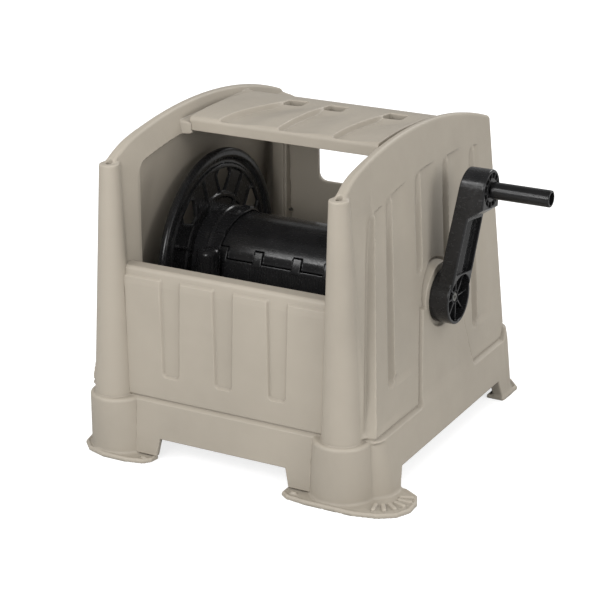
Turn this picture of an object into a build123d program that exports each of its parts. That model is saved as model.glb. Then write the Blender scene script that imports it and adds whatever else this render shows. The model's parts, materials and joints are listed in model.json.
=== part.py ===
from build123d import *
import os
from math import atan, cos, radians, sin, sqrt

# Hose reel box: a resin cabinet of leaning panels around a crank-wound reel.
# Frame: +X along the reel's axle towards the crank, -Y to the open front, +Z up.
# The parts are drawn from a point on the floor straight below the middle of the drum,
# and then moved so that the origin is the middle of the floor area that the box covers.
# Millimetres.

os.makedirs("parts", exist_ok=True)

ORIGIN = (48.5, -12.5, 0.0)   # the frame's origin, from the drawing point

# ---- cabinet ----
WALL = 4.0                # moulded wall
AXLE_Z = 235.0            # axle above the floor
END_X = 153.0             # inner face of each side panel, where the cross panels end
SHOULDER_X = 192.0        # outer face of a side panel at SHOULDER_Z
SHOULDER_Z = 450.0
SIDE_LEAN = 0.127         # the side spreads this much per mm downwards
COLUMN_LEAN = 0.104       # the same for the strip beside the front column
FRONT_Y = -249.0          # centre line of the front columns
REAR_Y = 246.0            # rear face of the side panels
ARCH_R = 819.5            # arched top of the side panels
ARCH_Y = -27.5            # where the arch peaks
ARCH_TOP = 491.5
COLUMN_TOP_Z = 446.0      # flat top of the front columns
SKIRT_Z = 93.0            # top of the base skirt
SKIRT_PROUD = 5.0         # the skirt stands this far out of the panel
FOOT_GAP = 34.0           # height of the arches between the feet
LIP = 33.0                # width of the side panel's inner lip
RIM_DROP = 16.0           # the inner part of the arch is this much lower
PEDAL_T = 7.0             # thickness of the foot flanges

# ---- cross panels ----
FRONT_FOOT_Y = -263.8     # front face at the top of the foot arch
FRONT_GROOVE_Y = -257.5   # front face at the skirt line
FRONT_LIP_Y = -254.0      # front face at the top edge
FRONT_LIP_Z = 293.6
CHANNEL_DEPTH = 2.5
CHANNEL_PITCH = 88.0
REAR_TOP_Z = 432.0
WINDOW_HALF = 96.0        # rear window
WINDOW_LOW = 306.0
WINDOW_HIGH = 404.0
TOP_Z = 480.0             # crest of the top panel
TOP_R = 800.0
TOP_FRONT_Y = -80.0
TOP_REAR_Y = 128.0
SCREW_R = 2.4
SCREW_HEAD_R = 4.6

# ---- reel ----
FLANGE_R = 169.0
FLANGE_OUT = 166.0        # outer face of each flange rim
RIM_W = 14.0
WEB_X = 160.0             # middle plane of the flange web
DRUM_R = 76.0
DRUM_WALL = 3.5
COLLAR_R = 80.5
COLLAR_END = 110.0        # the left collar runs from the flange to here
SEAM_TURN = 19.0          # the drum's parting plane, degrees above level at the front
HUB_R = 34.0
JOURNAL_R = 24.95
BUSH_R = 25.0
BUSH_OUT_R = 28.0
BOSS_IN = 200.0           # inner end of the bearing sleeve in the side panel
BOSS_OUT = 222.0          # flat outer face of the bearing boss
JOURNAL_END = 222.4
OUTLET_X = -120.0
OUTLET_Y = -92.0
OUTLET_R = 18.0
HOSE_THREAD_R = 13.4      # garden hose thread, outside
NUT_THREAD_R = 13.5       # garden hose thread, inside

# ---- crank ----
CRANK_IN = 222.8
CRANK_OUT = 253.0
CRANK_TURN = 7.6          # degrees from upright, tipped to the rear
CRANK_THROW = 166.0
CRANK_HUB_R = 40.0
CRANK_HEAD_R = 30.0
ARM_T = 24.0
GRIP_R = 12.5
GRIP_START = 292.0
GRIP_END = 382.0
PIN_R = 6.0

GRIP_Y = CRANK_THROW * sin(radians(CRANK_TURN))
GRIP_Z = AXLE_Z + CRANK_THROW * cos(radians(CRANK_TURN))


def yz_prism(points, x_low, x_high):
    """A prism along X from an outline of (y, z) points."""
    outline = Polyline(*points, close=True)
    return extrude(Plane.YZ.offset(x_low) * make_face(outline), x_high - x_low)


def xz_prism(points, y_low, y_high):
    """A prism along Y from an outline of (x, z) points."""
    outline = Polyline(*points, close=True)
    return extrude(Plane.XZ.offset(-y_high) * make_face(outline), y_high - y_low)


def xy_prism(points, z_low, z_high):
    """A prism along Z from an outline of (x, y) points."""
    outline = Polyline(*points, close=True)
    return extrude(Plane.XY.offset(z_low) * make_face(outline), z_high - z_low)


def block(x_range, y_range, z_range):
    middle = [(low + high) / 2 for low, high in (x_range, y_range, z_range)]
    size = [high - low for low, high in (x_range, y_range, z_range)]
    return Pos(*middle) * Box(*size)


def rod(x_low, x_high, radius, y=0.0, z=AXLE_Z):
    """A round bar parallel to the axle."""
    return Pos((x_low + x_high) / 2, y, z) * Rot(0, 90, 0) * Cylinder(radius, x_high - x_low)


def tube(x_low, x_high, outer, inner, y=0.0, z=AXLE_Z):
    return rod(x_low, x_high, outer, y, z) - rod(x_low - 1, x_high + 1, inner, y, z)


def one(shape):
    """The single solid of a shape."""
    solids = shape.solids()
    return max(solids, key=lambda solid: solid.volume)


def mirrored(shape):
    return mirror(shape, Plane.YZ)


# ---------------- side panels ----------------

def arch_outline(inset, front, rear, bottom):
    """Side outline with the arched top, drawn inset from the outer skin."""
    radius = ARCH_R - inset
    centre_z = ARCH_TOP - ARCH_R
    low_y = front + inset
    high_y = rear - inset
    low_top = centre_z + sqrt(radius ** 2 - (low_y - ARCH_Y) ** 2)
    high_top = centre_z + sqrt(radius ** 2 - (high_y - ARCH_Y) ** 2)
    arch = ThreePointArc((low_y, low_top), (ARCH_Y, centre_z + radius), (high_y, high_top))
    sides = Polyline((high_y, high_top), (high_y, bottom), (low_y, bottom), (low_y, low_top))
    return make_face([arch, sides])


def leaning_wedge(lean, inset, bottom):
    """Everything inside a side face that leans by the given run per mm."""
    top = 520.0
    top_x = SHOULDER_X + (SHOULDER_Z - top) * lean - inset
    bottom_x = SHOULDER_X + (SHOULDER_Z - bottom) * lean - inset
    return xz_prism([(100, bottom), (bottom_x, bottom), (top_x, top), (100, top)], -400, 400)


def side_volume(inset, inner_x, bottom=0.0):
    """The filled volume of the right side panel, inset from its outer skin."""
    outline = Plane.YZ.offset(inner_x) * arch_outline(inset, FRONT_Y, REAR_Y, bottom)
    slab = extrude(outline, 260)
    behind_column = yz_prism(
        [(-250 + inset, bottom), (-240 + inset, 103), (-177 + inset, 406),
         (-177 + inset, 500), (300, 500), (300, bottom)], inner_x, 400)
    field = slab & leaning_wedge(SIDE_LEAN, inset, bottom) & behind_column
    strip = slab & leaning_wedge(COLUMN_LEAN, inset, bottom)
    return strip + field + column(-inset, bottom) + socket(-inset, bottom)


def column(grow, bottom=0.0):
    """The front column, a slim cone, grown outwards by the given amount."""
    return loft([Pos(191, -248.6, bottom) * Circle(34.2 + grow),
                 Pos(184, -255, COLUMN_TOP_Z + grow) * Circle(14.5 + grow)])


def socket(grow, bottom=0.0):
    """The round base that the column stands in."""
    return loft([Pos(185, -234, bottom) * Circle(50 + grow),
                 Pos(187, -245, SKIRT_Z + grow) * Circle(42 + grow)])


def rib(low_front, high_front, high_rear, low_rear):
    """A raised rib on the side panel between four (y, z) corners."""
    proud = leaning_wedge(SIDE_LEAN, -2.5, 90) - leaning_wedge(SIDE_LEAN, 1, 80)
    return yz_prism([low_front, high_front, high_rear, low_rear], 150, 300) & proud


def side_panel():
    shell = side_volume(0, END_X)
    plain = yz_prism([(-240, -5), (-240, SKIRT_Z), (REAR_Y, SKIRT_Z), (REAR_Y, -5)], END_X, 300)
    skirt = plain & leaning_wedge(SIDE_LEAN, -SKIRT_PROUD, 0) & block((100, 300), (-310, 310), (0, SKIRT_Z))
    shell += skirt
    tongue = yz_prism([(-94, SKIRT_Z - 2), (-60, 230), (60, 230), (94, SKIRT_Z - 2)], 160, 300)
    shell += tongue & leaning_wedge(SIDE_LEAN, -SKIRT_PROUD, 0)
    for corners in (((-167, 153), (-120.6, 416), (-66, 423.5), (-150, 155)),
                    ((-46.6, 284.6), (-23.6, 426), (36.8, 429), (-20, 290)),
                    ((48, 270), (71.5, 425), (129, 424), (72, 272)),
                    ((124, 147), (167, 418), (190, 413.5), (138, 150))):
        shell += rib(*corners)
    # the inner part of the arch drops to a shoulder beside the top panel
    shoulder = arch_outline(RIM_DROP, FRONT_Y - 40, REAR_Y + 40, 380)
    above = block((150, 166), (-213, 222), (420, 500))
    shell -= above - extrude(Plane.YZ.offset(140) * shoulder, 40)
    # hollow inside, leaving an inner lip round the front, top and rear
    cavity = side_volume(WALL, END_X + WALL, -10)
    low_arch = extrude(Plane.YZ.offset(150) * arch_outline(RIM_DROP + WALL, FRONT_Y - 40, REAR_Y + 40, -20), 20)
    cavity -= block((150, 170), (-400, 400), (380, 500)) - low_arch
    shell -= cavity
    shell -= extrude(Plane.YZ.offset(END_X - 5) * arch_outline(LIP + 8, FRONT_Y, REAR_Y, -10), 15)
    # arch between the feet
    shell -= yz_prism([(-188, -5), (-176, FOOT_GAP), (176, FOOT_GAP), (186, -5)], 150, 320)
    # foot flanges: a ribbed step pedal at the front crank side, small pads elsewhere
    shell += rear_pad()
    # bearing boss
    shell += rod(BOSS_OUT - 7, BOSS_OUT, 50)
    shell += rod(BOSS_IN, BOSS_OUT, HUB_R)
    shell -= rod(BOSS_OUT, BOSS_OUT + 40, 46)
    shell -= rod(BOSS_IN - 20, BOSS_OUT + 20, BUSH_OUT_R)
    return shell


def rear_pad():
    return xy_prism([(112, 240), (116, 262), (190, 268), (236, 264), (256, 240),
                     (254, 184), (226, 184), (226, 226), (160, 238)], 0, PEDAL_T)


def plain_front_pad():
    return xy_prism([(112, -258), (114, -274), (124, -285), (150, -291), (190, -291), (220, -281),
                     (238, -262), (243, -240), (240, -214), (226, -200), (200, -240)], 0, PEDAL_T)


def step_pedal():
    """The half-oval step that a foot holds down while the crank turns."""
    pad = xy_prism([(108, -258), (108, -280), (120, -289), (150, -293), (226, -293), (262, -284),
                    (285, -268), (295, -246), (294, -222), (284, -200), (262, -187),
                    (240, -187), (200, -240)], 0, PEDAL_T)
    for angle in (-62, -40, -18, 4, 26):
        ridge = Pos(262, -236, PEDAL_T) * Rot(0, 0, angle) * Pos(8, 0, 0) * Box(30, 5, 3)
        pad += ridge
    return pad


side = side_panel()
right_side = one(side + step_pedal())
left_side = one(mirrored(side + plain_front_pad()))


# ---------------- screws through the side panels' inner lips ----------------

def lip_screw_places():
    """(y, z) of every screw that holds a cross panel's end to a side panel."""
    front = [(-232.0, 120.0), (-221.0, 200.0), (-211.0, 272.0)]
    rear = [(222.0, 120.0), (217.0, 250.0), (210.0, 380.0)]
    top = [(-60.0, 465.0), (30.0, 464.0), (105.0, 455.0)]
    return front + rear + top


screws = []
pilot_holes = []
lip_holes = []
for y, z in lip_screw_places():
    head = rod(END_X + WALL, END_X + WALL + 2.6, SCREW_HEAD_R, y, z)
    cross = block((END_X + 5, END_X + 9), (y - 0.5, y + 0.5), (z - 3, z + 3))
    cross += block((END_X + 5, END_X + 9), (y - 3, y + 3), (z - 0.5, z + 0.5))
    shank = rod(END_X - 10, END_X + WALL, SCREW_R, y, z)
    screws.append(one(head + shank - cross))
    pilot_holes.append(rod(END_X - 14, END_X + 1, SCREW_R, y, z))
    lip_holes.append(rod(END_X - 1, END_X + WALL + 1, SCREW_R + 0.2, y, z))

for hole in lip_holes:
    right_side = right_side - hole
    left_side = left_side - mirrored(hole)
right_side = one(right_side)
left_side = one(left_side)


# ---------------- cross panels ----------------

def end_flanges(points):
    """Flanges at both ends of a cross panel, with blind bosses for the screws."""
    flange = yz_prism(points, END_X - WALL, END_X)
    return flange + mirrored(flange)


def with_screw_bosses(panel, places):
    for y, z in places:
        boss = rod(END_X - 12, END_X, 6, y, z)
        panel += boss + mirrored(boss)
    for hole in pilot_holes:
        panel -= hole
        panel -= mirrored(hole)
    return one(panel)


def front_panel():
    foot_z = PEDAL_T + 0.2
    outer = [(FRONT_FOOT_Y - 3, foot_z), (FRONT_FOOT_Y, FOOT_GAP), (FRONT_GROOVE_Y - 2, SKIRT_Z - 1),
             (FRONT_GROOVE_Y, SKIRT_Z), (-255.5, 276), (FRONT_LIP_Y, 289), (-249, FRONT_LIP_Z)]
    inner = [(-225, FRONT_LIP_Z), (-225, 285), (-246, 285), (-251.5, 276),
             (FRONT_GROOVE_Y + WALL, SKIRT_Z), (FRONT_FOOT_Y + WALL, foot_z)]
    panel = yz_prism(outer + inner, -END_X, END_X)
    for x in (-CHANNEL_PITCH, 0, CHANNEL_PITCH):
        channel = xz_prism([(x - 12.5, 132), (x + 12.5, 132), (x + 18, 276), (x - 18, 276)], -300, -200)
        depth = yz_prism([(-257 - 5, 132), (-257 + CHANNEL_DEPTH, 132),
                          (-255.5 + CHANNEL_DEPTH, 276), (-255.5 - 5, 276)], -200, 200)
        panel -= channel & depth
    arch = xz_prism([(-110, -5), (-104, FOOT_GAP), (104, FOOT_GAP), (110, -5)], -300, -200)
    panel -= arch
    panel += end_flanges([(-256, 100), (-230, 100), (-206, 262), (-206, 280), (-225, FRONT_LIP_Z - 2),
                          (-252, FRONT_LIP_Z - 5), (-254.5, 276)])
    # in front of the side panels, the skirt runs on to the columns' sockets
    wings = yz_prism(outer + inner, -166, 166) & block((-170, 170), (-290, FRONT_Y - 0.2), (0, SKIRT_Z))
    panel += wings - arch
    for shape in (column(0.4, -1), socket(0.4, -1)):
        panel -= shape
        panel -= mirrored(shape)
    return with_screw_bosses(panel, lip_screw_places()[:3])


def rear_panel():
    panel = yz_prism([(240, FOOT_GAP), (222, REAR_TOP_Z), (206, REAR_TOP_Z), (206, REAR_TOP_Z - WALL),
                      (222 - WALL, REAR_TOP_Z - WALL), (240 - WALL, FOOT_GAP)], -END_X, END_X)
    window = xz_prism([(-WINDOW_HALF, WINDOW_LOW), (WINDOW_HALF, WINDOW_LOW),
                       (WINDOW_HALF, WINDOW_HIGH), (-WINDOW_HALF, WINDOW_HIGH)], 150, 300)
    window = fillet(window.edges().filter_by(Axis.Y), 14)
    panel -= window
    for x in (-CHANNEL_PITCH, 0, CHANNEL_PITCH):
        channel = xz_prism([(x - 14, 110), (x + 14, 110), (x + 18, 285), (x - 18, 285)], 200, 300)
        behind = yz_prism([(236.6 - 1.8, 110), (260, 110), (260, 285), (228.6 - 1.8, 285)], -200, 200)
        panel -= channel & behind
    panel += end_flanges([(236, 100), (210, 100), (200, 400), (206, REAR_TOP_Z), (222, REAR_TOP_Z - 2)])
    return with_screw_bosses(panel, lip_screw_places()[3:6])


def top_outline(inset):
    """Section of the top panel: a shallow crown with turned-down ends."""
    radius = TOP_R - inset
    centre_z = TOP_Z - TOP_R
    front = TOP_FRONT_Y + inset
    rear = TOP_REAR_Y - inset
    front_z = centre_z + sqrt(radius ** 2 - (front + 5) ** 2)
    rear_z = centre_z + sqrt(radius ** 2 - (rear + 5) ** 2)
    low = TOP_Z - 24 + (-2 if inset else 0)
    crown = ThreePointArc((front, front_z), (-5, centre_z + radius), (rear, rear_z))
    rest = Polyline((rear, rear_z), (rear, low - 6), (front, low), (front, front_z))
    return make_face([crown, rest])


def top_panel():
    panel = extrude(Plane.YZ.offset(-END_X) * top_outline(0), 2 * END_X)
    panel = fillet(panel.edges().filter_by(Axis.X).group_by(Axis.Z)[-1], 6)
    inside = extrude(Plane.YZ.offset(-END_X + WALL) * top_outline(WALL), 2 * (END_X - WALL))
    panel -= inside
    for x in (-95, 0, 80):
        panel -= block((x - 3, x + 3), (TOP_FRONT_Y + 6, 60), (TOP_Z - 1.5, TOP_Z + 5))
        panel -= block((x + 2, x + 24), (52, 94), (TOP_Z - 20, TOP_Z + 10))
    return with_screw_bosses(panel, lip_screw_places()[6:])


front = front_panel()
rear = rear_panel()
top = top_panel()


# ---------------- bearings ----------------

def bearing_bush():
    sleeve = tube(BOSS_IN - WALL, BOSS_OUT, BUSH_OUT_R, BUSH_R)
    flange = tube(BOSS_IN - WALL, BOSS_IN, HUB_R - 1, BUSH_R)
    return one(sleeve + flange)


right_bush = bearing_bush()
left_bush = mirrored(right_bush)
right_washer = tube(192.6, 195.8, HUB_R - 2, JOURNAL_R + 0.2)
left_washer = mirrored(right_washer)


# ---------------- reel ----------------

def flange_disc():
    """The right flange: rolled rim, dished web with windows, hub outwards."""
    rim_in = FLANGE_OUT - RIM_W
    section = Polyline((WEB_X - 2, HUB_R - 8), (WEB_X - 2, 90), (WEB_X - 6, 96), (WEB_X - 6, 100),
                       (WEB_X - 2, 106), (WEB_X - 2, 140), (rim_in, 150), (rim_in, 163),
                       (rim_in + 5, FLANGE_R), (FLANGE_OUT - 4, FLANGE_R), (FLANGE_OUT, 163),
                       (FLANGE_OUT, 158), (WEB_X + 2, 148), (WEB_X + 2, HUB_R - 8), close=True)
    # the section is drawn as (x, radius) and turned about the axle
    face = make_face(section)
    disc = Pos(0, 0, AXLE_Z) * revolve(Plane.XZ * face, Axis.X, 360)
    for step in range(6):
        angle = 81 + 60 * step
        big = step % 2 == 0
        place = Pos(0, 0, AXLE_Z) * Rot(angle, 0, 0)
        width, height = (52, 32) if big else (34, 30)
        window = Plane.YZ.offset(140) * Pos(118 if big else 114, 0) * RectangleRounded(height, width, 13)
        disc -= place * extrude(window, 40)
    return disc


def right_flange():
    body = flange_disc()
    body += rod(WEB_X - 22, 192, HUB_R)
    body += rod(190, JOURNAL_END, JOURNAL_R)
    # cored from inside, with a floor for the crank screw and a hexagon for the crank
    body -= rod(WEB_X - 30, 176, HUB_R - WALL)
    body -= hexagon(196, 240, 26.3)
    body -= rod(170, 200, 3.0)
    return one(body)


def hexagon(x_low, x_high, flats):
    shape = Plane.YZ.offset(x_low) * (Pos(0, AXLE_Z) * RegularPolygon(flats / sqrt(3), 6))
    return extrude(shape, x_high - x_low)


def left_flange():
    body = mirrored(flange_disc())
    body += rod(-192, -WEB_X + 42, HUB_R)
    body += rod(-JOURNAL_END, -190, JOURNAL_R)
    body -= rod(-240, -OUTLET_R - 110, 14)
    body -= water_passage(10.0)
    # socket that takes the out tube's root
    body -= water_passage(14.05) & block((-160, -100), (-60, -22), (200, 270))
    return one(body)


def water_passage(radius):
    """A round bar from the axle to the front, along the out tube's root."""
    return Pos(OUTLET_X - 12, -46, AXLE_Z) * Rot(90, 0, 0) * Cylinder(radius, 92)


def drum_half(upper):
    """Half of the drum, with square tabs that interlock along both seams."""
    shell = tube(-COLLAR_END - 38, END_X - 1, DRUM_R, DRUM_R - DRUM_WALL)
    gap = 0.15
    cut_high = block((-200, 200), (-100, 100), (AXLE_Z + (gap if upper else -100 - gap),
                                               AXLE_Z + (100 if upper else -gap)))
    half = shell & cut_high
    for place in range(6):
        x = -92 + 45 * place
        for side_sign in (-1, 1):
            # tabs rise out of the lower half's seams into notches of the upper half
            grow = 0.2 if upper else 0.0
            y_range = (side_sign * 85 - 15, side_sign * 85 + 15)
            tab = block((x - 6 - grow, x + 6 + grow), y_range, (AXLE_Z - 5, AXLE_Z + 13 + grow)) & shell
            half = half - tab if upper else half + tab
    if not upper:
        for step in range(30):
            # fine ribs round the lower half
            angle = 187 + step * 5.7
            place = Pos(0, 0, AXLE_Z) * Rot(angle, 0, 0)
            half += place * block((-80, 140), (DRUM_R - 1, DRUM_R + 0.8), (-0.8, 0.8))
    turned = Pos(0, 0, AXLE_Z) * Rot(-SEAM_TURN, 0, 0) * Pos(0, 0, -AXLE_Z) * half
    turned -= outlet_clearance()
    return one(turned)


def outlet_clearance():
    return block((OUTLET_X - 33, OUTLET_X + 21), (-130, -40), (AXLE_Z - 32, AXLE_Z + 50))


def drum_collar():
    collar = tube(-WEB_X + 2.1, -COLLAR_END, COLLAR_R, DRUM_R + 0.1)
    for step in range(8):
        place = Pos(0, 0, AXLE_Z) * Rot(22.5 + 45 * step, 0, 0)
        collar -= place * block((-COLLAR_END - 9, -COLLAR_END + 1), (60, 100), (-9, 9))
    collar -= outlet_clearance()
    return one(collar)


def out_tube():
    """Elbow that leads water out of the hub and down to a hose thread."""
    root = Pos(OUTLET_X - 12, -58, AXLE_Z) * Rot(90, 0, 0) * Cylinder(14, 72)
    barrel_top = AXLE_Z + 44
    barrel = Pos(OUTLET_X, OUTLET_Y, (barrel_top + 215) / 2) * Cylinder(OUTLET_R, barrel_top - 215)
    barrel = fillet(barrel.edges().group_by(Axis.Z)[-1], 9)
    thread = Pos(OUTLET_X, OUTLET_Y, 205) * Cylinder(HOSE_THREAD_R, 22)
    body = root + barrel + thread
    body -= Pos(OUTLET_X, OUTLET_Y, 190 + 45) * Cylinder(9, 92)
    body -= water_passage(9.0)
    return one(body)


right_disc = right_flange()
left_disc = left_flange()
upper_drum = drum_half(True)
lower_drum = drum_half(False)
collar = drum_collar()
outlet = out_tube()


# ---------------- water inlet on the left side ----------------
IN_R = 13.92
INLET_X = -266.0


def in_tube():
    """Elbow from the swivel in the reel's hub, out and down to the leader hose."""
    body = rod(INLET_X, -140, IN_R)
    body += Pos(INLET_X, 0, AXLE_Z) * Sphere(IN_R + 2)
    body += Pos(INLET_X, 0, 209) * Cylinder(11, 52)
    body += rod(-236, -228, 18)
    body += Pos(INLET_X, 0, 184.5) * Cylinder(12.6, 3)
    for x in O_RING_PLACES:
        body -= tube(x - 1.6, x + 1.6, IN_R + 1, IN_R - 2.2)
    body -= rod(INLET_X, -130, 8.5)
    body -= Pos(INLET_X, 0, 207) * Cylinder(7.5, 60)
    return one(body)


O_RING_PLACES = (-206.0, -196.0)
o_rings = [tube(x - 1.3, x + 1.3, IN_R - 0.02, IN_R - 2.2) for x in O_RING_PLACES]


def coupling_nut():
    """Swivel nut with an inside hose thread and finger lobes."""
    top = 198.0
    low = 170.0
    body = Pos(INLET_X, 0, (top + low) / 2) * Cylinder(17, top - low)
    for step in range(10):
        lobe = Rot(0, 0, 36 * step) * Pos(16.4, 0, 0) * Cylinder(2.6, top - low)
        body += Pos(INLET_X, 0, (top + low) / 2) * lobe
    body -= Pos(INLET_X, 0, low + 4) * Cylinder(NUT_THREAD_R, 12)
    body -= Pos(INLET_X, 0, (186.2 + low) / 2) * Cylinder(NUT_THREAD_R - 0.6, 186.2 - low)
    body -= Pos(INLET_X, 0, 192) * Cylinder(11.06, 30)
    return one(body)


inlet = in_tube()
nut = coupling_nut()
inlet_washer = Pos(INLET_X, 0, 181.5) * (Cylinder(12.8, 3) - Cylinder(7.5, 5))


# ---------------- crank ----------------

def crank_arm():
    """Straight arm that leans out, so its grip clears the skirt lower down."""
    lean = atan(SIDE_LEAN)
    origin = (CRANK_OUT - ARM_T, 0, AXLE_Z)
    turn = radians(CRANK_TURN)
    # local x runs up the arm, local z out of the cabinet
    along = Vector(SIDE_LEAN, sin(turn), cos(turn)).normalized()
    across = Vector(0, -cos(turn), sin(turn))
    plane = Plane(origin=origin, x_dir=along, z_dir=along.cross(across))
    length = CRANK_THROW / cos(lean)
    outline = make_hull([Circle(CRANK_HUB_R - 6).edge(), (Pos(length, 0) * Circle(CRANK_HEAD_R - 1)).edge()])
    plate = extrude(plane * outline, ARM_T)
    pocket = make_hull([(Pos(34, 0) * Circle(25)).edge(), (Pos(length - 46, 0) * Circle(23)).edge()])
    plate -= extrude(plane.offset(ARM_T - 17) * pocket, 40)
    rib_along = plane.offset(ARM_T - 20) * Pos(length / 2, 0) * Rectangle(length - 70, 3)
    plate += extrude(rib_along, 14)
    hub = rod(CRANK_IN, CRANK_OUT, CRANK_HUB_R)
    hub -= rod(CRANK_OUT - 17, CRANK_OUT + 10, CRANK_HUB_R - 5)
    core = rod(CRANK_IN, CRANK_OUT + 30, CRANK_HUB_R - 5)
    plate -= core - rod(CRANK_IN, CRANK_OUT - 17, CRANK_HUB_R)
    arm = plate + hub
    for step in range(8):
        web = block((CRANK_OUT - 20, CRANK_OUT - 5), (-1.2, 1.2), (8, CRANK_HUB_R - 3))
        arm += Pos(0, 0, AXLE_Z) * Rot(45 * step, 0, 0) * web
    arm += rod(CRANK_OUT - 20, CRANK_OUT - 6, 11)
    head = rod(250, 290.5, CRANK_HEAD_R, GRIP_Y, GRIP_Z)
    head = fillet(head.edges().group_by(Axis.X)[-1], 3)
    arm += head
    arm -= tube(276, 300, CRANK_HEAD_R - 4, 18, GRIP_Y, GRIP_Z)
    arm += hexagon(198, CRANK_IN + 1, 26.0)
    arm -= rod(190, CRANK_OUT + 5, 3.2)
    arm -= rod(CRANK_OUT - 12, CRANK_OUT + 5, 8.5)
    arm -= rod(262, 300, PIN_R, GRIP_Y, GRIP_Z)
    return one(arm)


def crank_screw():
    shank = rod(178, CRANK_OUT - 10.4, 3.0)
    head = rod(CRANK_OUT - 10.4, CRANK_OUT - 6.4, 6.5)
    return one(shank + head - hexagon_socket(CRANK_OUT - 8.8))


def hexagon_socket(x_low):
    return hexagon(x_low, x_low + 6, 5)


def crank_grip():
    body = rod(GRIP_START, GRIP_END, GRIP_R, GRIP_Y, GRIP_Z)
    body = fillet(body.edges(), 1.5)
    body -= rod(GRIP_START - 5, GRIP_END + 5, PIN_R + 0.06, GRIP_Y, GRIP_Z)
    body -= rod(GRIP_END - 14, GRIP_END + 5, 9.2, GRIP_Y, GRIP_Z)
    return one(body)


def grip_pin():
    shank = rod(262.1, GRIP_END - 13.8, PIN_R, GRIP_Y, GRIP_Z)
    head = rod(GRIP_END - 13.8, GRIP_END - 9.8, 8.6, GRIP_Y, GRIP_Z)
    return one(shank + head)


arm = crank_arm()
screw = crank_screw()
screw_washer = tube(CRANK_OUT - 12, CRANK_OUT - 10.4, 7.5, 3.2)
grip = crank_grip()
pin = grip_pin()

parts = {
    "left_side_panel": left_side,
    "right_side_panel": right_side,
    "front_panel": front,
    "rear_panel": rear,
    "top_panel": top,
    "panel_screws": screws + [mirrored(item) for item in screws],
    "left_bearing_bush": left_bush,
    "right_bearing_bush": right_bush,
    "left_thrust_washer": left_washer,
    "right_thrust_washer": right_washer,
    "left_reel_flange": left_disc,
    "right_reel_flange": right_disc,
    "drum_shell_upper": upper_drum,
    "drum_shell_lower": lower_drum,
    "drum_collar": collar,
    "out_tube": outlet,
    "in_tube": inlet,
    "in_tube_o_rings": o_rings,
    "inlet_coupling_nut": nut,
    "inlet_washer": inlet_washer,
    "crank_arm": arm,
    "crank_screw": screw,
    "crank_screw_washer": screw_washer,
    "crank_grip": grip,
    "grip_pin": pin,
}

to_origin = Pos(-ORIGIN[0], -ORIGIN[1], -ORIGIN[2])
for name, shape in parts.items():
    if isinstance(shape, list):
        placed = Compound(children=[to_origin * item for item in shape])
    else:
        placed = to_origin * shape
    export_step(placed, f"parts/{name}.step")
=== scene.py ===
import math
import bpy
import numpy as np
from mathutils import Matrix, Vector
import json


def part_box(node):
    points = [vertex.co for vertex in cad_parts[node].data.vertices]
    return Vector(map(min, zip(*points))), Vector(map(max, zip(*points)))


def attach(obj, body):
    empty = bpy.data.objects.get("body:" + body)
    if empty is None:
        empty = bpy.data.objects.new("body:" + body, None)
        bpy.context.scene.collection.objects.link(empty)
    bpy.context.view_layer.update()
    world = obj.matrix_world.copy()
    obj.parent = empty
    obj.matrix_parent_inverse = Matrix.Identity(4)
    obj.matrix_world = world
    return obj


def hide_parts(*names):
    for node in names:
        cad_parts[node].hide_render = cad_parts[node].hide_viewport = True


# A resin hose reel box with a crank. Shapes are worked out in millimetres as distance
# fields (negative inside) and become closed meshes in metres in the frame of the CAD.
# Drawing coordinates start on the floor straight below the middle of the drum.

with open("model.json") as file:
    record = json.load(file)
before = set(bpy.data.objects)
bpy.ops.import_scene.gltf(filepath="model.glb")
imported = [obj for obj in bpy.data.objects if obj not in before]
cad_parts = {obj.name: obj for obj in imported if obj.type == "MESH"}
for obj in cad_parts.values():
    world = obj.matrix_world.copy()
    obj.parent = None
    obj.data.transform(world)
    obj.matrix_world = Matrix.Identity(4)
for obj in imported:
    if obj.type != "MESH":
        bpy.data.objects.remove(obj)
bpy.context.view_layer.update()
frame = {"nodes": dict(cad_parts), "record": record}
MM = 1000.0
ORIGIN = np.array([48.5, -12.5, 0.0])      # the frame's origin in drawing coordinates
FINE = 1.0              # multiplies every grid step
SPARE = 8.0                                # how far a shape may reach past its CAD piece's box


def cad_box(node):
    low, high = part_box(node)
    return np.array(low) * MM + ORIGIN, np.array(high) * MM + ORIGIN


# ---------------------------------------------------------------- distance fields

def ramp(start, end, value):
    """0 at start, 1 at end, with soft ends."""
    t = np.clip((value - start) / (end - start), 0.0, 1.0)
    return t * t * (3.0 - 2.0 * t)


def bell(value, width):
    """1 at zero, fading to nothing over about two widths."""
    return np.exp(-(value / width) ** 2)


def soft_union(a, b, reach):
    """What is in a or b, their joint filleted over the reach."""
    h = np.clip(0.5 + 0.5 * (b - a) / reach, 0.0, 1.0)
    return b + (a - b) * h - reach * h * (1.0 - h)


def round_common(a, b, radius):
    """What a and b share, its edges rounded to the radius."""
    u = np.maximum(a + radius, 0.0)
    v = np.maximum(b + radius, 0.0)
    return np.minimum(-radius, np.maximum(a, b)) + np.sqrt(u * u + v * v)


def outline_distance(u, v, points):
    """Signed distance to a closed outline of (u, v) points, negative inside."""
    best = None
    inside = None
    count = len(points)
    for index in range(count):
        au, av = points[index]
        bu, bv = points[(index + 1) % count]
        du, dv = bu - au, bv - av
        pu, pv = u - au, v - av
        t = np.clip((pu * du + pv * dv) / (du * du + dv * dv), 0.0, 1.0)
        squared = (pu - t * du) ** 2 + (pv - t * dv) ** 2
        best = squared if best is None else np.minimum(best, squared)
        if dv == 0:
            continue
        crosses = ((av > v) != (bv > v)) & (u < au + pv * du / dv)
        inside = crosses if inside is None else inside ^ crosses
    return np.where(inside, -1.0, 1.0) * np.sqrt(best)


def slab(value, low, high):
    """Signed distance to the range from low to high."""
    return np.abs(value - (low + high) / 2) - (high - low) / 2


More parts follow.
